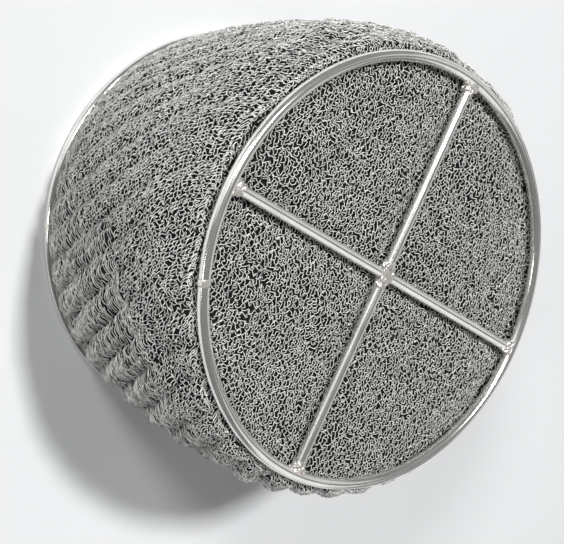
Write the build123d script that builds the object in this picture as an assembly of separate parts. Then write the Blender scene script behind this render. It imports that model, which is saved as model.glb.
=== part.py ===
from build123d import *
import math
import os

# Wire mesh demister pad: a wound roll of crimped knitted wire between two welded rod grids.
# Millimetres, +Z up. The pad stands on its lower grid, with the origin under its middle.

# Grids
ring_diameter = 300.0       # centreline of the bent ring
ring_rod_diameter = 8.0
cross_rod_diameter = 7.4
rod_fit_up_gap = 0.05       # between a square-cut rod end and what it meets
ring_joint_angle = -155.5   # where the two ends of the bent ring meet, from +X
ring_root_gap = 5.0         # between those two ends, filled by the butt weld

# Welds
butt_weld_height = 0.35     # above the ring's own surface
end_weld_leg = 4.0          # out from the cross rod, where the bead meets the ring
end_weld_reach = 7.0        # along the cross rod, from the ring's inner edge
end_weld_toe = 1.0          # from the ring's centreline to where the bead stops on the ring
centre_weld_leg = 3.6
centre_weld_reach = 7.0     # along a half rod, from the through rod's side
weld_wrap = 2.2             # how far the beads go past the middle of the cross rods
weld_seat_angle = 15.0      # stretch of the ring that is cut out of an end bead, each way

# Knitted mesh roll
pad_thickness = 200.0       # clear height between the two rings
seat_gap = 0.3              # between the mesh and the rods that press on it
belly_radius = 170.0        # ridge crests where the roll is widest
belly_depth = 56.0          # from the roll's upper face down to its widest line
lower_edge_radius = 153.0   # ridge crests at the lower face
upper_edge_radius = 158.0   # ridge crests at the upper face
shoulder = 5.2              # bevel where the side turns over into a face, each way
ridge_count = 40
ridge_depth = 7.5           # where the ridges are clearest
ridge_angle = 32.0          # of the crimped ridges, from the pad's axis
ridge_flank = 0.2           # share of a ridge's width in each sloping flank
crest_edge_drop = 0.12      # share of the depth by which a crest is lower at the flanks
ridge_spans = 3             # spans of the smooth curve along each ridge
faint_angle = 105.0         # where round the pad the ridges are faintest
faint_loss = 0.45           # share of the depth lost there
lower_loss = 0.55           # and at the lower face
upper_loss = 0.35           # and at the upper face, with faint_upper_loss more where they are faintest
faint_upper_loss = 0.5
lower_fade_end = 0.2        # heights between which the ridges fade, as shares of the mesh's height
upper_fade_start = 0.45
upper_fade_end = 0.78

# Mesh that stands out of each face between the rods
swell_height = 1.6
swell_edge = 8.0            # from a rod's axis to where the mesh starts to rise
swell_slope = 8.0           # run of the rise
swell_root = 0.5            # depth of the pads' roots in the flat face

# Turns of the roll that show as a spiral in each face
turn_pitch = 28.0
turn_groove_width = 8.0
turn_groove_depth = 1.4
outer_turn_radius = 118.0
half_turns = 5

# Wire that ties the two grids together through the mesh
tie_wire_diameter = 0.5
tie_rod_gap = 0.08          # between the wire and the rods that it goes round
tie_bore_gap = 0.3          # round each leg of the wire, in the mesh
tie_distance = 114.0        # from the pad's axis

# Worked out from the sizes above
ring_radius = ring_diameter / 2
ring_rod_radius = ring_rod_diameter / 2
cross_rod_radius = cross_rod_diameter / 2
tie_wire_radius = tie_wire_diameter / 2
inner_edge = ring_radius - ring_rod_radius
rod_drop = ring_rod_radius - cross_rod_radius
lower_plane = ring_rod_radius
upper_plane = lower_plane + ring_rod_diameter + pad_thickness
mesh_bottom = ring_rod_diameter + seat_gap
mesh_height = pad_thickness - 2 * seat_gap
mesh_top = mesh_bottom + mesh_height


# Rod grid, modelled with its ring in the plane z = 0 and the mesh on its +Z side.
# The cross rods are thinner than the ring and lie flush with it on the mesh side.

def hoop(tube_radius, start_angle, turn):
    """Part of a ring about the Z axis, from start_angle through turn degrees."""
    section = Plane.XZ * Pos(ring_radius, 0) * Circle(tube_radius)
    return Rot(0, 0, start_angle) * revolve(section, Axis.Z, turn)


def cross_rod(start, end):
    """A square-cut rod along the X axis, between two distances from the pad's axis."""
    section = Plane.YZ.offset(start) * Pos(0, rod_drop) * Circle(cross_rod_radius)
    return extrude(section, end - start)


def weld_collar(leg, length):
    """A fillet bead round a cross rod, widest at x = 0, laid from the outer side of the grid."""
    outer_radius = cross_rod_radius + leg
    profile = make_face(Polyline((0, 0), (0, outer_radius), (length, cross_rod_radius), (length, 0), close=True))
    collar = Pos(0, 0, rod_drop) * revolve(profile, Axis.X)
    depth = ring_rod_radius + rod_drop + weld_wrap
    laid_space = Pos(0, 0, -ring_rod_radius) * Box(
        3 * length, 3 * outer_radius, depth, align=(Align.CENTER, Align.CENTER, Align.MIN)
    )
    return collar & laid_space


def end_weld():
    """The bead between the ring and the outer end of a cross rod on the +X side."""
    toe = ring_radius - end_weld_toe
    bead = Pos(toe, 0, 0) * Rot(0, 0, 180) * weld_collar(end_weld_leg, toe - inner_edge + end_weld_reach)
    ring_stretch = hoop(ring_rod_radius, -weld_seat_angle, 2 * weld_seat_angle)
    bead = bead - ring_stretch - cross_rod(0, inner_edge - rod_fit_up_gap)
    return max(bead.solids(), key=lambda solid: solid.volume)


def centre_weld(rods):
    """The bead that joins both half rods to the through rod, filled out at all four corners."""
    arm = Rot(0, 0, 90) * weld_collar(centre_weld_leg, cross_rod_radius + centre_weld_reach)
    bead = arm + Rot(0, 0, 180) * arm
    for rod in rods:
        bead = bead - rod
    return max(bead.solids(), key=lambda solid: solid.volume)


def grid_pieces():
    rod_end = inner_edge - rod_fit_up_gap
    gap_angle = math.degrees(ring_root_gap / ring_radius)
    through_rod = cross_rod(-rod_end, rod_end)
    half_rod = Rot(0, 0, 90) * cross_rod(cross_rod_radius + rod_fit_up_gap, rod_end)
    half_rods = (half_rod, Rot(0, 0, 180) * half_rod)
    faces_slab = Box(2 * ring_diameter, 2 * ring_diameter, ring_rod_diameter)

    pieces = {
        "ring": hoop(ring_rod_radius, ring_joint_angle + gap_angle / 2, 360 - gap_angle),
        "ring_butt_weld": hoop(ring_rod_radius + butt_weld_height, ring_joint_angle - gap_angle / 2, gap_angle)
        & faces_slab,
        "through_rod": through_rod,
        "half_rod_north": half_rods[0],
        "half_rod_south": half_rods[1],
        "centre_weld": centre_weld((through_rod, *half_rods)),
    }
    bead = end_weld()
    for quarter, side in enumerate(("east", "north", "west", "south")):
        pieces["end_weld_" + side] = Rot(0, 0, 90 * quarter) * bead
    return pieces


# Knitted mesh roll, crimped into slanting ridges and barrelled between the grids

def crest_radius(height):
    """Radius of the ridge crests at a height above the roll's lower face."""
    belly_height = mesh_height - belly_depth
    if height < belly_height:
        slack = (belly_height - height) / belly_height
        return belly_radius - (belly_radius - lower_edge_radius) * slack**2
    slack = (height - belly_height) / belly_depth
    return belly_radius - (belly_radius - upper_edge_radius) * slack**3


def smooth_step(value, start, end):
    share = min(max((value - start) / (end - start), 0), 1)
    return share * share * (3 - 2 * share)


def ridge_clarity(angle, height):
    """How much of the full ridge depth there is. The ridges fade towards both faces and to one side."""
    share = height / mesh_height
    faint = 0.5 + 0.5 * math.cos(angle - math.radians(faint_angle))
    lower = 1 - lower_loss * (1 - smooth_step(share, 0, lower_fade_end))
    upper = 1 - (upper_loss + faint_upper_loss * faint) * smooth_step(share, upper_fade_start, upper_fade_end)
    return (1 - faint_loss * faint) * lower * upper


def ridge_line(ridge, share, drop):
    """A line along a ridge, at a share of its width. It lies a drop, as a share of the depth, below the crest."""
    lean = math.tan(math.radians(ridge_angle)) / belly_radius
    points = []
    for span in range(ridge_spans + 1):
        height = shoulder + (mesh_height - 2 * shoulder) * span / ridge_spans
        angle = 2 * math.pi * (ridge + share) / ridge_count - height * lean
        radius = crest_radius(height) - drop * ridge_depth * ridge_clarity(angle, height)
        points.append(Vector(radius, 0, height).rotate(Axis.Z, math.degrees(angle)))
    return Spline(*points)


def bevel_line(end, face_height):
    """From the end of a ridge line over the shoulder to a flat face of the roll."""
    share = 1 - shoulder / math.hypot(end.X, end.Y)
    return Line(end, (end.X * share, end.Y * share, face_height))


def ridged_roll():
    """The closed outer form: ruled faces between the ridge lines, bevelled shoulders and two flat ends."""
    places = ((0, 1), (ridge_flank, crest_edge_drop), (1 - ridge_flank, crest_edge_drop))
    lines = [ridge_line(ridge, share, drop) for ridge in range(ridge_count) for share, drop in places]
    lower_bevels = [bevel_line(line @ 0, 0) for line in lines]
    upper_bevels = [bevel_line(line @ 1, mesh_height) for line in lines]
    faces = []
    for band in (lower_bevels, lines, upper_bevels):
        faces += [Face.make_surface_from_curves(a, b) for a, b in zip(band, band[1:] + band[:1])]
    for bevels in (lower_bevels, upper_bevels):
        rim = [bevel @ 1 for bevel in bevels]
        faces.append(Face(Wire.make_polygon(rim, close=True)))
    return Solid(Shell(faces))


def face_swell():
    """The four low pads between the rods, on a face at z = 0 and rooted a little below it."""
    root = -swell_root
    top = swell_height
    low = swell_edge - swell_slope * swell_root / swell_height
    high = swell_edge + swell_slope
    disc_profile = Polyline((0, root), (ring_radius - low, root), (ring_radius - high, top), (0, top), close=True)
    disc = revolve(make_face(Plane.XZ * disc_profile), Axis.Z)
    channel_profile = Polyline((-low, root), (low, root), (high, top), (-high, top), close=True)
    channel = extrude(make_face(Plane.XZ * channel_profile), 2 * ring_radius, both=True)
    return (disc - channel - Rot(0, 0, 90) * channel).solids()


def turn_groove(face_height, side):
    """The spiral between the roll's turns in one face, as half circles of shrinking radius."""
    groove = []
    for half in range(half_turns):
        radius = outer_turn_radius - half * turn_pitch / 2
        profile = make_face(
            Polyline(
                (radius - turn_groove_width / 2, 0),
                (radius + turn_groove_width / 2, 0),
                (radius, -side * turn_groove_depth),
                close=True,
            )
        )
        half_circle = revolve(Plane.XZ * profile, Axis.Z, 180)
        shift = turn_pitch / 4
        if half % 2:
            groove.append(Pos(shift, 0, face_height) * Rot(0, 0, 180) * half_circle)
        else:
            groove.append(Pos(-shift, 0, face_height) * half_circle)
    return groove


def mesh_roll():
    roll = Pos(0, 0, mesh_bottom) * ridged_roll()
    for side, face_height in ((-1, mesh_bottom), (1, mesh_top)):
        turned = Rot(90 - 90 * side, 0, 0)
        for pad in face_swell():
            roll = roll + Pos(0, 0, face_height) * turned * pad
        for cut in turn_groove(face_height + side * swell_height, side):
            roll = roll - cut
    leg_bore = Cylinder(tie_wire_radius + tie_bore_gap, 2 * (mesh_top + ring_rod_diameter))
    for side in (-1, 1):
        roll = roll - Pos(side * tie_leg_offset(), -tie_distance, 0) * leg_bore
    return roll


# Tie wire

def tie_leg_offset():
    return cross_rod_radius + tie_rod_gap + tie_wire_radius


def tie_wire():
    """A closed loop of wire round the south half rods of both grids, with its legs through the mesh."""
    offset = tie_leg_offset()
    section = Plane.XY * Pos(offset, 0) * Circle(tie_wire_radius)
    bend = revolve(section, Axis.Y, -180)
    low = lower_plane + rod_drop
    high = upper_plane - rod_drop
    leg = extrude(Circle(tie_wire_radius), high - low)
    loop = Pos(0, 0, high) * bend + Pos(0, 0, low) * Rot(0, 180, 0) * bend
    loop = loop + Pos(offset, 0, low) * leg + Pos(-offset, 0, low) * leg
    return Pos(0, -tie_distance, 0) * loop


def all_pieces():
    pieces = {"mesh_roll": mesh_roll(), "tie_wire": tie_wire()}
    for name, piece in grid_pieces().items():
        pieces["lower_" + name] = Pos(0, 0, lower_plane) * piece
        pieces["upper_" + name] = Pos(0, 0, upper_plane) * piece.mirror(Plane.XY)
    return pieces


os.makedirs("parts", exist_ok=True)
for name, piece in all_pieces().items():
    export_step(piece, f"parts/{name}.step")
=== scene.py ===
import math

import bmesh
import bpy
import numpy as np
from mathutils import Matrix, Vector


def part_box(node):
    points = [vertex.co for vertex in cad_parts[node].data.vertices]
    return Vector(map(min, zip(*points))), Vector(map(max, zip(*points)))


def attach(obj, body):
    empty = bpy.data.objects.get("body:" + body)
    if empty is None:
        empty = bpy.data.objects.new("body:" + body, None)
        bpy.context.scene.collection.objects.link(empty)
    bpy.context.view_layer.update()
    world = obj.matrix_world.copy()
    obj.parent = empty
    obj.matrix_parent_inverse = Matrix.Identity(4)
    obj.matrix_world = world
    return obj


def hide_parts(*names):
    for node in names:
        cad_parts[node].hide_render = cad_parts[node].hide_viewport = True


# Wire mesh demister pad: knitted stainless wire, crimped and wound, between two welded rod grids.
# Lengths are millimetres, and a mesh is scaled to metres when it is made. The camera, the lamps and the
# textures are in metres.

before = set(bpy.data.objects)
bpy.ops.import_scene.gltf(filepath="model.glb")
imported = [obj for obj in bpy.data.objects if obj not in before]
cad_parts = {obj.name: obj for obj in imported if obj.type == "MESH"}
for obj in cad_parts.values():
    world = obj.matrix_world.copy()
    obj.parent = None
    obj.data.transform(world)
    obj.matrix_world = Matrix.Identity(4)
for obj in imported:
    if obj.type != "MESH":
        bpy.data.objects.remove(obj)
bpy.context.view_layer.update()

METRES = 0.001


def millimetres(box):
    return [[value / METRES for value in corner] for corner in box]


roll_low, roll_high = millimetres(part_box("mesh_roll"))
ring_high = millimetres(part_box("upper_ring"))[1]

# The roll, with the sizes of the CAD part
swell_height = 1.6          # of the mesh between the rods, above the roll's flat faces
roll_bottom = roll_low[2] + swell_height
roll_height = roll_high[2] - roll_low[2] - 2 * swell_height
belly_radius = 170.0
belly_depth = 56.0          # from the roll's upper face down to its widest line
lower_edge_radius = 153.0
upper_edge_radius = 158.0
ridge_count = 40
ridge_depth = 7.5
ridge_angle = math.radians(32.0)    # of the ridges, from upright
ridge_fullness = 0.6        # power of the sine that shapes a ridge: 1 is round, less is fuller
turn_pitch = 28.0           # between the roll's turns, as seen in its faces
turn_groove_depth = 1.3
turn_groove_spread = 4.5
outer_turn_radius = 118.0
ring_rod_radius = 4.0
ring_radius = ring_high[0] - ring_rod_radius

# How the ridges fade, in shares of their depth and of the roll's height. The three losses differ a little
# from the CAD part's.
quiet_angle = math.radians(105.0)   # where the ridges are faintest
quiet_loss = 0.6            # of the depth there, at every height
foot_clarity = 0.45         # of the depth, at the lower ring
foot_fade = (0.0, 0.2)
top_fade = (0.45, 0.78)
top_loss = 0.15             # of the depth above that fade, all round
top_quiet_loss = 0.7        # and besides, at the quiet angle
crumpled_heights = (0.45, 0.85)     # from smooth below to crumpled above

# How the surface of the wires lies on the roll
side_settle = 0.5           # of the side below the ridges' crests
press_depth = 2.2           # of the faces below their flat seats, under the rods
press_spread = 11.0
side_noise_radius = 150.0   # where the noise of the side is read
swell_noise_level = 90.0    # the same for the swell of the faces
row_noise_level = 40.0      # and for the rows of loops on them

# Knit
corner_radius = 8.0         # where the side turns over into a face
corner_cover = 0.9          # share of that corner that the side's wires cover
side_overlap = corner_cover * corner_radius * math.pi / 2 - corner_radius
wire_radius = 0.31
side_course_pitch = 8.8     # between the courses of the ridged zone, along the circumference
ridged_height = 0.8         # greatest share of the height that has long legs across the ridges
ridged_sides = (-0.7, 0.75)     # where that share starts to fall and ends, as cosines from the quiet angle
ridged_scatter = 0.07       # of that share, from course to course
least_ridged = 0.1          # share of the height under which a course has no long legs
curl_start = (-4.0, 2.0)    # of the small curls, from the end of the long legs
leg_lean = math.radians(22.0)   # of the loops' legs in the ridged zone, from the circumference
leg_curl = 0.35             # of the courses there
face_reach = 168.0          # half the length of the faces' rows
face_edge = 0.45 * corner_radius    # from the side to the ends of the faces' rows
row_shift = 0.618           # of a row of loops against the one before, in loops

# Kinds of knit. The pitches are between courses and between the loops of a course. The loops' reach is a
# share of the first pitch and their roundness a share of the second. Their sway is in radians, and disorder
# makes them differ. The points lie along one loop. Depth is the loops' rise and fall out of the surface,
# lumps add some unevenness, and sink is how far the wires lie below the surface.
ridge_knit = {
    "pitch": (side_course_pitch, 4.5),
    "reach": 0.5,
    "roundness": 0.07,
    "sway": 0.12,
    "disorder": 0.4,
    "points": 11,
    "depth": 1.3,
    "lumps": 0.35,
    "sink": 0.3,
}
curl_knit = {**ridge_knit, "pitch": (2.93, 5.4), "reach": 0.6, "roundness": 0.22, "sway": 1.2, "points": 7}
upper_knit = {**curl_knit, "pitch": (3.2, 5.0), "depth": 1.4, "lumps": 0.4, "sink": 0.35}
lower_knit = {**upper_knit, "pitch": (4.0, 6.4)}

# Painted shade: a near-black fill behind the wires, in place of the knit's shaded depths
core_inset = 2.2
core_spokes = 8 * ridge_count
core_side_rings = 20
core_corner_rings = 4
core_face_rings = 10
core_hub = 0.08             # the innermost ring of a face, as a share of its radius
core_reach = 0.97           # the last ring of a face and of a corner, as a share of each

# Weld beads
bead_edge = 1.0             # longest edge of their mesh
bead_divisions = 3
bead_smoothings = 4
bead_softness = 0.8         # how gently their skin bends over below the top of the rings
coarse_lump = 4.0           # distance between the coarse lumps of their skin
fine_lump = 2.0
fine_lump_share = 0.6       # height of the fine lumps, as a share of the coarse ones'
fillet_lumps = (0.0, 0.5)   # how far a fillet's skin swells out, and how uneven it is
butt_lumps = (0.05, 0.06)   # the same for the ground butt welds of the rings
same_place = 1e-6           # metres between corners that are one

# Seeds
side_seed = 900
ridge_seed = 2000
curl_seed = 5000
loop_seed_step = 1000       # from a course's own seed to that of its loops
upper_face_seed = 7000
lower_face_seed = 8000
bead_seed = 9000


# Smooth seeded noise

wave_spread = (0.75, 1.3)   # waves within one wavelength, from the longest wave to the shortest


def ripple(points, wavelength, seed, waves=9):
    """Noise of about unit size at points, from crossing sine waves of about the wavelength."""
    draw = np.random.default_rng(seed)
    heading = draw.normal(size=(waves, 3))
    heading /= np.linalg.norm(heading, axis=1, keepdims=True)
    heading *= draw.uniform(*wave_spread, (waves, 1)) * 2 * math.pi / wavelength
    phase = draw.uniform(0, 2 * math.pi, waves)
    return np.sin(points @ heading.T + phase).sum(axis=-1) / math.sqrt(waves / 2)


def stack(*parts):
    return np.stack(np.broadcast_arrays(*parts), axis=-1)


# The roll's outer form

def crest_radius(height):
    """Radius of the ridge crests at a height above the roll's lower face."""
    belly_height = roll_height - belly_depth
    below = np.maximum(belly_height - height, 0) / belly_height
    above = np.maximum(height - belly_height, 0) / belly_depth
    lower = (belly_radius - lower_edge_radius) * below**2
    upper = (belly_radius - upper_edge_radius) * above**3
    return belly_radius - lower - upper


def smooth_step(value, start, end):
    share = np.clip((value - start) / (end - start), 0, 1)
    return share * share * (3 - 2 * share)


def ridge_clarity(angle, height):
    """Share of the full ridge depth. The ridges fade towards the lower ring and the upper face."""
    share = height / roll_height
    quiet = 0.5 + 0.5 * np.cos(angle - quiet_angle)
    lower = foot_clarity + (1 - foot_clarity) * smooth_step(share, *foot_fade)
    upper = 1 - (top_loss + top_quiet_loss * quiet) * smooth_step(share, *top_fade)
    return (1 - quiet_loss * quiet) * lower * upper


def ridged_share(angle):
    """Share of the height that has long legs across the ridges, below the small curls."""
    return ridged_height * (1 - smooth_step(np.cos(angle - quiet_angle), *ridged_sides))


def side_place(angle, height):
    """Where the side's noise is read, whatever the depth of the surface."""
    return stack(side_noise_radius * np.cos(angle), side_noise_radius * np.sin(angle), height)


def side_radius(angle, height):
    """Radius of the ridged side, with each ridge a little uneven."""
    place = side_place(angle, height)
    phase = (angle + height * math.tan(ridge_angle) / belly_radius) * ridge_count / (2 * math.pi)
    phase = phase + 0.03 * ripple(place, 160, 11)
    lobe = np.abs(np.sin(math.pi * phase)) ** ridge_fullness
    depth = ridge_depth * ridge_clarity(angle, height)
    crumple = smooth_step(height / roll_height, *crumpled_heights)
    dents = (0.25 + 0.5 * crumple) * ripple(place, 55, 14) + 0.35 * crumple * ripple(place, 20, 15)
    return crest_radius(height) - depth * (1 - lobe) + dents - side_settle


def edge_radius(angle, side):
    """Radius of the side where it starts to turn over into the upper face (side 1) or the lower (-1)."""
    return side_radius(angle, roll_height - corner_radius if side > 0 else corner_radius)


def side_surface(angle, travel):
    """Points of the roll's side. Past its two ends, travel goes on round the corner and into the face."""
    over = np.maximum(travel - (roll_height - corner_radius), 0)
    under = np.maximum(corner_radius - travel, 0)
    bend = np.minimum((over + under) / corner_radius, math.pi / 2)
    height = np.clip(travel, corner_radius, roll_height - corner_radius)
    radius = side_radius(angle, height) - corner_radius * (1 - np.cos(bend))
    radius = radius - np.maximum(over + under - corner_radius * math.pi / 2, 0)
    z = roll_bottom + height + np.sign(over - under) * corner_radius * np.sin(bend)
    return stack(radius * np.cos(angle), radius * np.sin(angle), z)


def rod_press(x, y):
    """From 1 under the rods of a grid to 0 midway between them."""
    away = np.minimum(np.minimum(np.abs(x), np.abs(y)), np.abs(np.hypot(x, y) - ring_radius))
    return np.exp(-((away / press_spread) ** 2))


def face_height(x, y, side):
    """How far a face of the roll stands out from its flat seat, in the direction of side."""
    radius = np.hypot(x, y)
    angle = np.arctan2(y, x)
    turn = np.clip((radius - edge_radius(angle, side) + corner_radius) / corner_radius, 0, 1)
    drop = corner_radius * (1 - np.sqrt(1 - turn**2))
    spiral = outer_turn_radius - turn_pitch / 4 + turn_pitch * angle / (2 * math.pi)
    off_groove = (radius - spiral + turn_pitch / 2) % turn_pitch - turn_pitch / 2
    groove = turn_groove_depth * np.exp(-((off_groove / turn_groove_spread) ** 2))
    place = stack(x, y, swell_noise_level * side)
    swell = swell_height + 0.5 * ripple(place, 70, 21) + 0.4 * ripple(place, 26, 22) - groove
    press = rod_press(x, y)
    return swell * (1 - press) - press_depth * press - drop


def face_surface(x, y, side):
    seat = roll_bottom + (roll_height if side > 0 else 0)
    return stack(x, y, seat + side * face_height(x, y, side))


def surface_normals(surface, u, v, step=0.4):
    """Outward unit normals of a surface function with u and v in millimetres."""
    across = surface(u + step, v) - surface(u - step, v)
    along = surface(u, v + step) - surface(u, v - step)
    normal = np.cross(across, along)
    return normal / np.linalg.norm(normal, axis=-1, keepdims=True)


# Meshes

def add_object(name, data):
    added = bpy.data.objects.new(name, data)
    bpy.context.scene.collection.objects.link(added)
    return added


def mesh_object(name, vertices, *face_groups):
    mesh = bpy.data.meshes.new(name)
    faces = [face for group in face_groups for face in group.tolist()]
    mesh.from_pydata((vertices * METRES).tolist(), [], faces)
    mesh.shade_smooth()
    mesh.update()
    return add_object(name, mesh)


def wire_object(name, wires):
    """One object of closed three-sided tubes along (points, normals) pairs, each with a side facing out."""
    corners = 3
    vertices, quads, caps = [], [], []
    start = 0
    for points, normals in wires:
        tangent = np.gradient(points, axis=0)
        side = np.cross(normals, tangent)
        side /= np.linalg.norm(side, axis=1, keepdims=True)
        out = np.cross(tangent, side)
        out /= np.linalg.norm(out, axis=1, keepdims=True)
        for corner in range(corners):
            turn = 2 * math.pi * (corner + 0.5) / corners
            vertices.append(points + wire_radius * (math.cos(turn) * out + math.sin(turn) * side))
        count = len(points)
        step = np.arange(count - 1)
        for corner in range(corners):
            here = start + corner * count + step
            there = start + (corner + 1) % corners * count + step
            quads.append(np.stack((here, there, there + 1, here + 1), axis=1))
        first = start + np.arange(corners) * count
        caps.append(first[::-1])
        caps.append(first + count - 1)
        start += corners * count
    return mesh_object(name, np.concatenate(vertices), np.concatenate(quads), np.array(caps))


def wire_objects(names, wires):
    """The wires in order, shared out to one object of about the same length for each name."""
    lengths = np.cumsum([len(points) for points, _ in wires])
    ends = np.searchsorted(lengths, lengths[-1] * np.arange(len(names) + 1) / len(names))
    return [wire_object(name, wires[start:end]) for name, start, end in zip(names, ends[:-1], ends[1:])]


def loop_row(loops, wale_pitch, knit, seed):
    """A course of knitted loops along x: offsets along it, across it and out of its plane."""
    draw = np.random.default_rng(seed)
    share = np.arange(loops * knit["points"] + 1) / knit["points"]
    disorder = knit["disorder"]

    def wander(amount, knots_per_loop):
        """A random offset of about the amount at each knot, and evenly between the knots."""
        knots = int(loops * knots_per_loop) + 2
        return np.interp(share * knots_per_loop, np.arange(knots), amount * draw.normal(size=knots))

    size = 1 + wander(0.25 * disorder, 1)
    bulge = wale_pitch * (knit["roundness"] + wander(0.06 * disorder, 1)) * np.sin(4 * math.pi * share)
    leg = knit["reach"] * knit["pitch"][0] * size * np.cos(2 * math.pi * share)
    turn = wander(knit["sway"], 1)
    slide = wander(0.8 * disorder, 1.5)
    drift = wander(0.7 * disorder, 1.5)
    along = wale_pitch * share + bulge * np.cos(turn) - leg * np.sin(turn) + slide
    across = bulge * np.sin(turn) + leg * np.cos(turn) + drift
    out = -0.45 * np.cos(4 * math.pi * share) + wander(0.3 * disorder, 2)
    return along, across, out


def lifted(points, normals, out, place, knit, seed):
    """The wire's points, moved off the surface by the rise and fall of its loops and by some unevenness."""
    lift = knit["depth"] * out + knit["lumps"] * ripple(place, 9, seed) - knit["sink"]
    return points + lift[:, None] * normals


# Knitted side

def arc_surface(arc, travel):
    """Points of the roll's side by their arc round the belly and their travel up the side."""
    return side_surface(arc / belly_radius, travel)


def side_course(arc_at_foot, start, end, knit, seed, lean=0.0, curl=0.0):
    """A wire that runs up the side along a ridge, from one travel to another."""
    draw = np.random.default_rng(seed)
    loops = int((end - start) / knit["pitch"][1])
    along, across, out = loop_row(loops, (end - start) / loops, knit, seed + loop_seed_step)
    step = np.arange(len(along)) / knit["points"]
    first, second = draw.uniform(0, 2 * math.pi, 2)
    travel = start + along
    arc = arc_at_foot - travel * math.tan(ridge_angle)
    arc = arc + across * math.cos(lean) + 0.8 * curl * np.sin(2 * math.pi * 2.3 * step + first)
    travel = travel + across * math.sin(lean) + 0.9 * curl * np.sin(2 * math.pi * 2.9 * step + second)
    place = side_place(arc / belly_radius, travel)
    arc = arc + 1.0 * ripple(place, 52, 31) + 0.4 * ripple(place, 12, 32)
    travel = travel + 1.0 * ripple(place, 48, 33) + 0.4 * ripple(place, 11, 34)
    travel = np.clip(travel, -side_overlap, roll_height + side_overlap)
    normals = surface_normals(arc_surface, arc, travel)
    return lifted(arc_surface(arc, travel), normals, out, place, knit, 35), normals


def knit_side():
    """Long legs across the ridges, and small curls of three times as many courses where the ridges fade."""
    girth = 2 * math.pi * belly_radius
    courses = round(girth / side_course_pitch)
    lowest = -side_overlap
    highest = roll_height + side_overlap
    draw = np.random.default_rng(side_seed)
    wires = []
    for course in range(courses):
        foot = girth * course / courses
        middle = (foot - roll_height / 2 * math.tan(ridge_angle)) / belly_radius
        change = roll_height * min(ridged_share(middle) + draw.uniform(-ridged_scatter, ridged_scatter), 1)
        if change > least_ridged * roll_height:
            seed = ridge_seed + course
            wires.append(side_course(foot, lowest, change, ridge_knit, seed, leg_lean, leg_curl))
        else:
            change = lowest
        for third in range(3):
            low = max(change + draw.uniform(*curl_start), lowest)
            foot_there = foot + (third - 1) * side_course_pitch / 3
            if highest - low > 2 * curl_knit["pitch"][1]:
                seed = curl_seed + 3 * course + third
                wires.append(side_course(foot_there, low, highest, curl_knit, seed))
    return wire_objects([f"knit_side_{number}" for number in (1, 2, 3)], wires)


# Knitted faces

def knit_face(names, side, knit, seed):
    """A knitted face of the roll, as one object for each name."""
    course_pitch, wale_pitch = knit["pitch"]
    rows = int(2 * face_reach / course_pitch)
    loops = int(2 * face_reach / wale_pitch)

    def surface(x, y):
        return face_surface(x, y, side)

    wires = []
    for row in range(rows):
        along, across, out = loop_row(loops, wale_pitch, knit, seed + row)
        x = along - face_reach - wale_pitch * ((row * row_shift) % 1)
        y = (row + 0.5) * course_pitch - face_reach + across
        place = stack(x, y, row_noise_level * side)
        x = x + 1.6 * ripple(place, 80, seed + 501) + 0.4 * ripple(place, 17, seed + 502)
        y = y + 1.6 * ripple(place, 75, seed + 503) + 0.4 * ripple(place, 19, seed + 504)
        inside = np.hypot(x, y) < edge_radius(np.arctan2(y, x), side) - face_edge
        normals = surface_normals(surface, x, y) * side
        points = lifted(surface(x, y), normals, out, place, knit, seed + 505)
        cuts = np.flatnonzero(np.diff(inside.astype(int))) + 1
        for run in np.split(np.arange(len(x)), cuts):
            if inside[run[0]] and len(run) > knit["points"]:
                wires.append((points[run], normals[run]))
    return wire_objects(names, wires)


# Near-black fill behind the wires, which closes the roll and is painted shade for the knit's depths

def roll_core():
    angle = np.arange(core_spokes) * 2 * math.pi / core_spokes

    def face_rings(side):
        edge = edge_radius(angle, side) - corner_radius
        made = []
        for fraction in np.linspace(core_hub, core_reach, core_face_rings):
            x, y = edge * fraction * np.cos(angle), edge * fraction * np.sin(angle)
            made.append(face_surface(x, y, side) - stack(0, 0, side * core_inset))
        return made

    def side_ring(travel):
        points = side_surface(angle, travel)
        shrink = 1 - core_inset / np.hypot(points[:, 0], points[:, 1])
        middle = roll_bottom + roll_height / 2
        z = middle + (points[:, 2] - middle) * (1 - 2 * core_inset / roll_height)
        return np.column_stack((points[:, :2] * shrink[:, None], z))

    heights = np.linspace(corner_radius, roll_height - corner_radius, core_side_rings)
    bends = np.linspace(0, core_reach, core_corner_rings + 1)[1:] * corner_radius * math.pi / 2
    rings = face_rings(-1)
    rings += [side_ring(corner_radius - bend) for bend in bends[::-1]]
    rings += [side_ring(height) for height in heights]
    rings += [side_ring(roll_height - corner_radius + bend) for bend in bends]
    rings += face_rings(1)[::-1]

    here = np.arange(core_spokes)
    following = (here + 1) % core_spokes
    lower = core_spokes * np.arange(len(rings) - 1)[:, None]
    upper = lower + core_spokes
    quads = np.stack((lower + here, lower + following, upper + following, upper + here), axis=-1)
    centres = [ring.mean(axis=0) for ring in (rings[0], rings[-1])]
    lower_centre = len(rings) * core_spokes
    last = lower_centre - core_spokes
    lower_fan = stack(lower_centre, following, here)
    upper_fan = stack(lower_centre + 1, last + here, last + following)
    return mesh_object("knit_core", np.vstack(rings + centres), quads.reshape(-1, 4), lower_fan, upper_fan)


# Weld beads

def soft_floor(height):
    """The height, bent over gently so that it never falls below zero."""
    return bead_softness * np.logaddexp(0, height / bead_softness)


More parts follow.
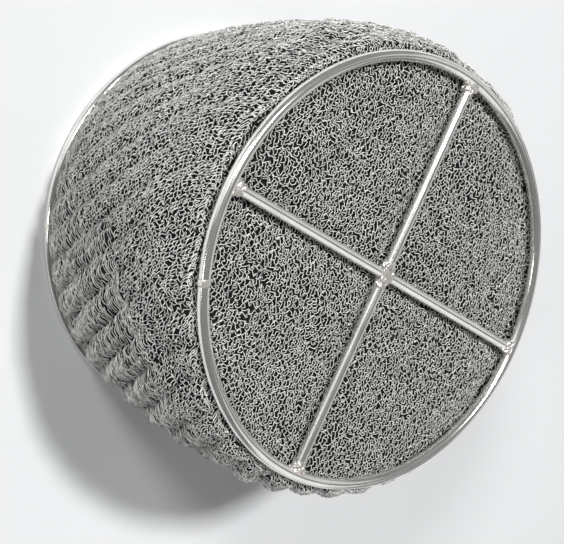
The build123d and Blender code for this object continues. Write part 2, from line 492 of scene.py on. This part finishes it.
def weld_bead(node, swell, lumpiness, seed):
    """The lumpy skin of a weld: the CAD bead's faces, divided finely, rounded and roughened."""
    bead = bmesh.new()
    bead.from_mesh(node.data)
    bmesh.ops.transform(bead, matrix=node.matrix_world, verts=bead.verts)
    bmesh.ops.remove_doubles(bead, verts=bead.verts, dist=same_place)
    bmesh.ops.triangulate(bead, faces=bead.faces)
    for _ in range(bead_divisions):
        long_edges = [edge for edge in bead.edges if edge.calc_length() > bead_edge * METRES]
        bmesh.ops.subdivide_edges(bead, edges=long_edges, cuts=1)
        bmesh.ops.triangulate(bead, faces=bead.faces)
    every_axis = {"use_axis_x": True, "use_axis_y": True, "use_axis_z": True}
    for _ in range(bead_smoothings):
        bmesh.ops.smooth_vert(bead, verts=bead.verts, factor=0.5, **every_axis)
    bead.normal_update()
    places = np.array([vert.co for vert in bead.verts]) / METRES
    lumps = ripple(places, coarse_lump, seed) + fine_lump_share * ripple(places, fine_lump, seed + 1)
    places += np.array([vert.normal for vert in bead.verts]) * (swell + lumpiness * lumps)[:, None]
    places[:, 2] = ring_high[2] - soft_floor(ring_high[2] - soft_floor(places[:, 2]))
    for vert, place in zip(bead.verts, places):
        vert.co = place * METRES
    mesh = bpy.data.meshes.new(node.name + "_bead")
    bead.to_mesh(mesh)
    bead.free()
    mesh.shade_smooth()
    return add_object(node.name + "_bead", mesh)


# Shader nodes

def add_node(tree, kind, inputs=None, **settings):
    """A node with its settings, and with its inputs set to values or linked to other nodes' outputs."""
    node = tree.nodes.new(kind)
    for key, value in settings.items():
        setattr(node, key, value)
    for key, value in (inputs or {}).items():
        if isinstance(value, bpy.types.NodeSocket):
            tree.links.new(value, node.inputs[key])
        else:
            node.inputs[key].default_value = value
    return node


def calculate(tree, operation, *values):
    return add_node(tree, "ShaderNodeMath", dict(enumerate(values)), operation=operation).outputs[0]


def greatest(tree, values):
    result = values[0]
    for value in values[1:]:
        result = calculate(tree, "MAXIMUM", result, value)
    return result


def noise(tree, place, scale, detail):
    inputs = {"Vector": place, "Scale": scale, "Detail": detail}
    return add_node(tree, "ShaderNodeTexNoise", inputs).outputs["Fac"]


def fade(tree, value, limits, results):
    """Goes from the first result to the second as the value goes from the first limit to the second."""
    inputs = {"Value": value}
    inputs["From Min"], inputs["From Max"] = limits
    inputs["To Min"], inputs["To Max"] = results
    return add_node(tree, "ShaderNodeMapRange", inputs).outputs[0]


def ramp(tree, factor, stops):
    """A colour that follows the factor through stops of a position and a colour."""
    node = add_node(tree, "ShaderNodeValToRGB", {"Fac": factor})
    elements = node.color_ramp.elements
    while len(elements) < len(stops):
        elements.new(0.5)
    for element, (position, colour) in zip(elements, stops):
        element.position = position
        element.color = (*colour, 1)
    return node.outputs["Color"]


def grey(value):
    return (value, value, value)


def bump(tree, height, strength, distance, **under):
    """A normal raised by a height. A second layer takes the first one's result as Normal."""
    inputs = {"Height": height, "Strength": strength, "Distance": distance, **under}
    return add_node(tree, "ShaderNodeBump", inputs).outputs["Normal"]


# Materials

def new_material(name, inputs):
    """A material, its tree, its shader with inputs set to numbers, and the place on the object."""
    material = bpy.data.materials.new(name)
    material.use_nodes = True
    tree = material.node_tree
    tree.nodes.clear()
    shader = add_node(tree, "ShaderNodeBsdfPrincipled", inputs)
    add_node(tree, "ShaderNodeOutputMaterial", {"Surface": shader.outputs["BSDF"]})
    where = add_node(tree, "ShaderNodeTexCoord").outputs["Object"]
    return material, tree, shader, where


def knit_wire_material(name, painted_shade_end, painted_glint_start):
    """Steel wire with painted shade and painted glints: a noise darkens it below its first limit, as if
    shaded by wires over it, and makes it near white above its second, as if glinting.
    """
    inputs = {"Metallic": 0.1, "Roughness": 0.3, "IOR": 2.2, "Specular IOR Level": 1.0}
    material, tree, shader, where = new_material(name, inputs)
    # Painted shade and painted glints: the wire is dark where the noise is low and near white where it is
    # high.
    patch = noise(tree, where, scale=400.0, detail=2.0)
    colour = ramp(tree, patch, ((painted_shade_end, (0.13, 0.13, 0.125)), (painted_glint_start, (1.0, 0.985, 0.94))))
    tree.links.new(colour, shader.inputs["Base Color"])
    return material


def core_material():
    """Painted shade of the knit's depths: almost black, with faint painted strands of shaded deeper wire
    where each of three noises crosses its middle value.
    """
    inputs = {"Roughness": 0.7, "Specular IOR Level": 0.1}
    material, tree, shader, where = new_material("knit_depth_painted_shade", inputs)
    strands = []
    for layer, scale in enumerate((260.0, 330.0, 420.0)):
        shift = (0.37 * layer, 0.21 * layer, 0.53 * layer)
        moved = add_node(tree, "ShaderNodeMapping", {"Vector": where, "Location": shift}).outputs[0]
        away = calculate(tree, "SUBTRACT", noise(tree, moved, scale=scale, detail=0.0), 0.5)
        strands.append(fade(tree, calculate(tree, "ABSOLUTE", away), (0.012, 0.035), (1.0, 0.0)))
    # Painted shade: near black for the shaded depths of the knit, with faint painted strands of deeper
    # wire.
    colour = ramp(tree, greatest(tree, strands), ((0.0, grey(0.005)), (1.0, grey(0.03))))
    tree.links.new(colour, shader.inputs["Base Color"])
    return material


def rod_material(name, stretch):
    """Satin stainless rod, with grain drawn out along x, along y or round the ring."""
    material, tree, shader, where = new_material(name, {"Metallic": 0.8})
    if stretch == "round":
        parts = add_node(tree, "ShaderNodeSeparateXYZ", {"Vector": where})
        x, y, z = (parts.outputs[axis] for axis in "XYZ")
        squares = calculate(tree, "ADD", calculate(tree, "POWER", x, 2.0), calculate(tree, "POWER", y, 2.0))
        radius = calculate(tree, "POWER", squares, 0.5)
        arc = calculate(tree, "MULTIPLY", calculate(tree, "ARCTAN2", y, x), 0.006)
        grain_place = add_node(tree, "ShaderNodeCombineXYZ", {"X": arc, "Y": radius, "Z": z}).outputs[0]
    else:
        scale = (0.04, 1, 1) if stretch == "x" else (1, 0.04, 1)
        grain_place = add_node(tree, "ShaderNodeMapping", {"Vector": where, "Scale": scale}).outputs[0]
    grain = noise(tree, grain_place, scale=900.0, detail=3.0)
    stain = noise(tree, where, scale=60.0, detail=4.0)
    pits = noise(tree, where, scale=900.0, detail=2.0)
    colour = ramp(tree, stain, ((0.3, (0.76, 0.76, 0.73)), (0.7, (0.88, 0.88, 0.85))))
    tree.links.new(colour, shader.inputs["Base Color"])
    rough = ramp(tree, grain, ((0.3, grey(0.13)), (0.7, grey(0.20))))
    tree.links.new(rough, shader.inputs["Roughness"])
    drawn = bump(tree, grain, strength=0.25, distance=0.0002)
    pitted = bump(tree, pits, strength=0.15, distance=0.0002, Normal=drawn)
    tree.links.new(pitted, shader.inputs["Normal"])
    return material


def weld_material():
    """Rippled weld metal with a faint straw and pink tint."""
    material, tree, shader, where = new_material("weld_bead", {"Metallic": 0.85, "Roughness": 0.36})
    tint = noise(tree, where, scale=110.0, detail=2.0)
    tints = ((0.3, (0.66, 0.63, 0.59)), (0.5, (0.84, 0.82, 0.78)), (0.7, (0.78, 0.71, 0.66)))
    tree.links.new(ramp(tree, tint, tints), shader.inputs["Base Color"])
    lumps = bump(tree, noise(tree, where, scale=420.0, detail=2.0), strength=0.6, distance=0.0012)
    tree.links.new(lumps, shader.inputs["Normal"])
    return material


def tie_wire_material():
    material, tree, shader, where = new_material("tie_wire", {"Metallic": 1.0, "Roughness": 0.28})
    patch = noise(tree, where, scale=400.0, detail=2.0)
    colour = ramp(tree, patch, ((0.35, (0.55, 0.54, 0.52)), (0.65, (0.72, 0.71, 0.69))))
    tree.links.new(colour, shader.inputs["Base Color"])
    return material


def floor_material():
    inputs = {"Roughness": 0.75, "Specular IOR Level": 0.2}
    material, tree, shader, where = new_material("pale_floor", inputs)
    cloud = noise(tree, where, scale=3.0, detail=2.0)
    colour = ramp(tree, cloud, ((0.3, (0.81, 0.82, 0.83)), (0.7, (0.84, 0.85, 0.86))))
    tree.links.new(colour, shader.inputs["Base Color"])
    return material


# Camera, light and floor

camera_place = Vector((-0.6222, -0.1123, 0.8857))
camera_aim = Vector((0.0009, -0.0203, 0.1063))
camera_roll = math.radians(108.16)
camera_lens = 85.26

# Square lamps: name, place, width and power in watts
lamps = (
    ("key_light", (-1.23, 2.14, 5.65), 0.64, 280.0),
    ("side_light", (-3.79, 1.36, 3.25), 0.8, 77.0),
    ("low_light", (-4.1, -2.6, 1.8), 0.8, 32.0),
)
lamp_aim = Vector((0, 0, 0.1))

# Soft pale panels round the studio: direction, cosine of the angle to the edge and to the full part,
# strength, and the direction's axis along which the panel is cut to a strip
studio_panels = (
    ((0.62, -0.60, 0.50), 0.81, 0.90, 0.95, "X"),
    ((-0.93, 0.09, 0.34), 0.90, 0.97, 0.85, "Y"),
    ((0.62, 0.62, 0.48), 0.88, 0.95, 0.55, "X"),
    ((0.96, 0.09, 0.26), 0.91, 0.97, 0.6, "Y"),
)
studio_base = 0.045         # strength between the panels
strip_full = 0.15           # from a strip's middle to where it starts to fade
strip_edge = 0.24           # and to where it ends

floor_reach = 6000.0        # from the middle of the floor to its sides


def looking(place, aim):
    """The matrix of a camera or lamp at place that looks at aim."""
    return Matrix.Translation(place) @ (aim - place).to_track_quat("-Z", "Y").to_matrix().to_4x4()


def make_camera():
    data = bpy.data.cameras.new("camera")
    data.lens = camera_lens
    data.sensor_width = 36.0
    data.clip_end = 50.0
    camera = add_object("camera", data)
    camera.matrix_world = looking(camera_place, camera_aim) @ Matrix.Rotation(camera_roll, 4, "Z")
    bpy.context.scene.camera = camera


def make_lamps():
    for name, place, width, power in lamps:
        data = bpy.data.lights.new(name, "AREA")
        data.size = width
        data.energy = power
        add_object(name, data).matrix_world = looking(Vector(place), lamp_aim)


def make_world():
    """A dark studio with pale panels, which the rods reflect."""
    world = bpy.data.worlds.new("studio")
    world.use_nodes = True
    tree = world.node_tree
    heading = add_node(tree, "ShaderNodeTexCoord").outputs["Generated"]
    parts = add_node(tree, "ShaderNodeSeparateXYZ", {"Vector": heading})
    panels = []
    for towards, edge, full, strength, axis in studio_panels:
        middle = Vector(towards).normalized()
        near = add_node(tree, "ShaderNodeVectorMath", {0: heading, 1: middle}, operation="DOT_PRODUCT")
        panel = fade(tree, near.outputs["Value"], (edge, full), (0.0, strength))
        away = calculate(tree, "SUBTRACT", parts.outputs[axis], middle["XYZ".index(axis)])
        strip = fade(tree, calculate(tree, "ABSOLUTE", away), (strip_full, strip_edge), (1.0, 0.0))
        panels.append(calculate(tree, "MULTIPLY", panel, strip))
    total = calculate(tree, "ADD", greatest(tree, panels), studio_base)
    sky = add_node(tree, "ShaderNodeCombineColor", {"Red": total, "Green": total, "Blue": total})
    tree.links.new(sky.outputs[0], tree.nodes["Background"].inputs["Color"])
    bpy.context.scene.world = world


def make_floor():
    corners = floor_reach * np.array(((-1, -1, 0), (1, -1, 0), (1, 1, 0), (-1, 1, 0)))
    floor = mesh_object("floor", corners, np.array(((0, 1, 2, 3),)))
    floor.data.materials.append(floor_material())


# The pad

def dress_nodes(finishes):
    """Gives each CAD node the first finish whose key is in its name."""
    for name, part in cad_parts.items():
        kind = next((key for key in finishes if key in name), None)
        if kind:
            for slot in part.material_slots:
                slot.material = finishes[kind]


def make_beads(finish):
    welds = sorted(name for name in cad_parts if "weld" in name)
    for number, name in enumerate(welds):
        lumps = butt_lumps if "butt" in name else fillet_lumps
        bead = weld_bead(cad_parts[name], *lumps, bead_seed + 10 * number)
        bead.data.materials.append(finish)
        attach(bead, "root")
        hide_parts(name)


def make_roll():
    side_wire = knit_wire_material("knitted_side_wire", 0.34, 0.42)
    face_wire = knit_wire_material("knitted_face_wire", 0.31, 0.39)
    core = roll_core()
    sides = knit_side()
    faces = knit_face(("knit_top_1", "knit_top_2"), 1, upper_knit, upper_face_seed)
    faces += knit_face(("knit_bottom",), -1, lower_knit, lower_face_seed)
    finishes = [core_material()] + [side_wire] * len(sides) + [face_wire] * len(faces)
    for piece, finish in zip([core] + sides + faces, finishes):
        piece.data.materials.append(finish)
        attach(piece, "root")
        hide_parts("mesh_roll")


make_camera()
make_floor()
make_lamps()
make_world()
weld_finish = weld_material()
dress_nodes(
    {
        "weld": weld_finish,
        "through_rod": rod_material("through_rod_steel", "x"),
        "half_rod": rod_material("half_rod_steel", "y"),
        "tie_wire": tie_wire_material(),
        "ring": rod_material("ring_steel", "round"),
    }
)
make_beads(weld_finish)
make_roll()
bpy.context.scene.view_settings.view_transform = "Standard"
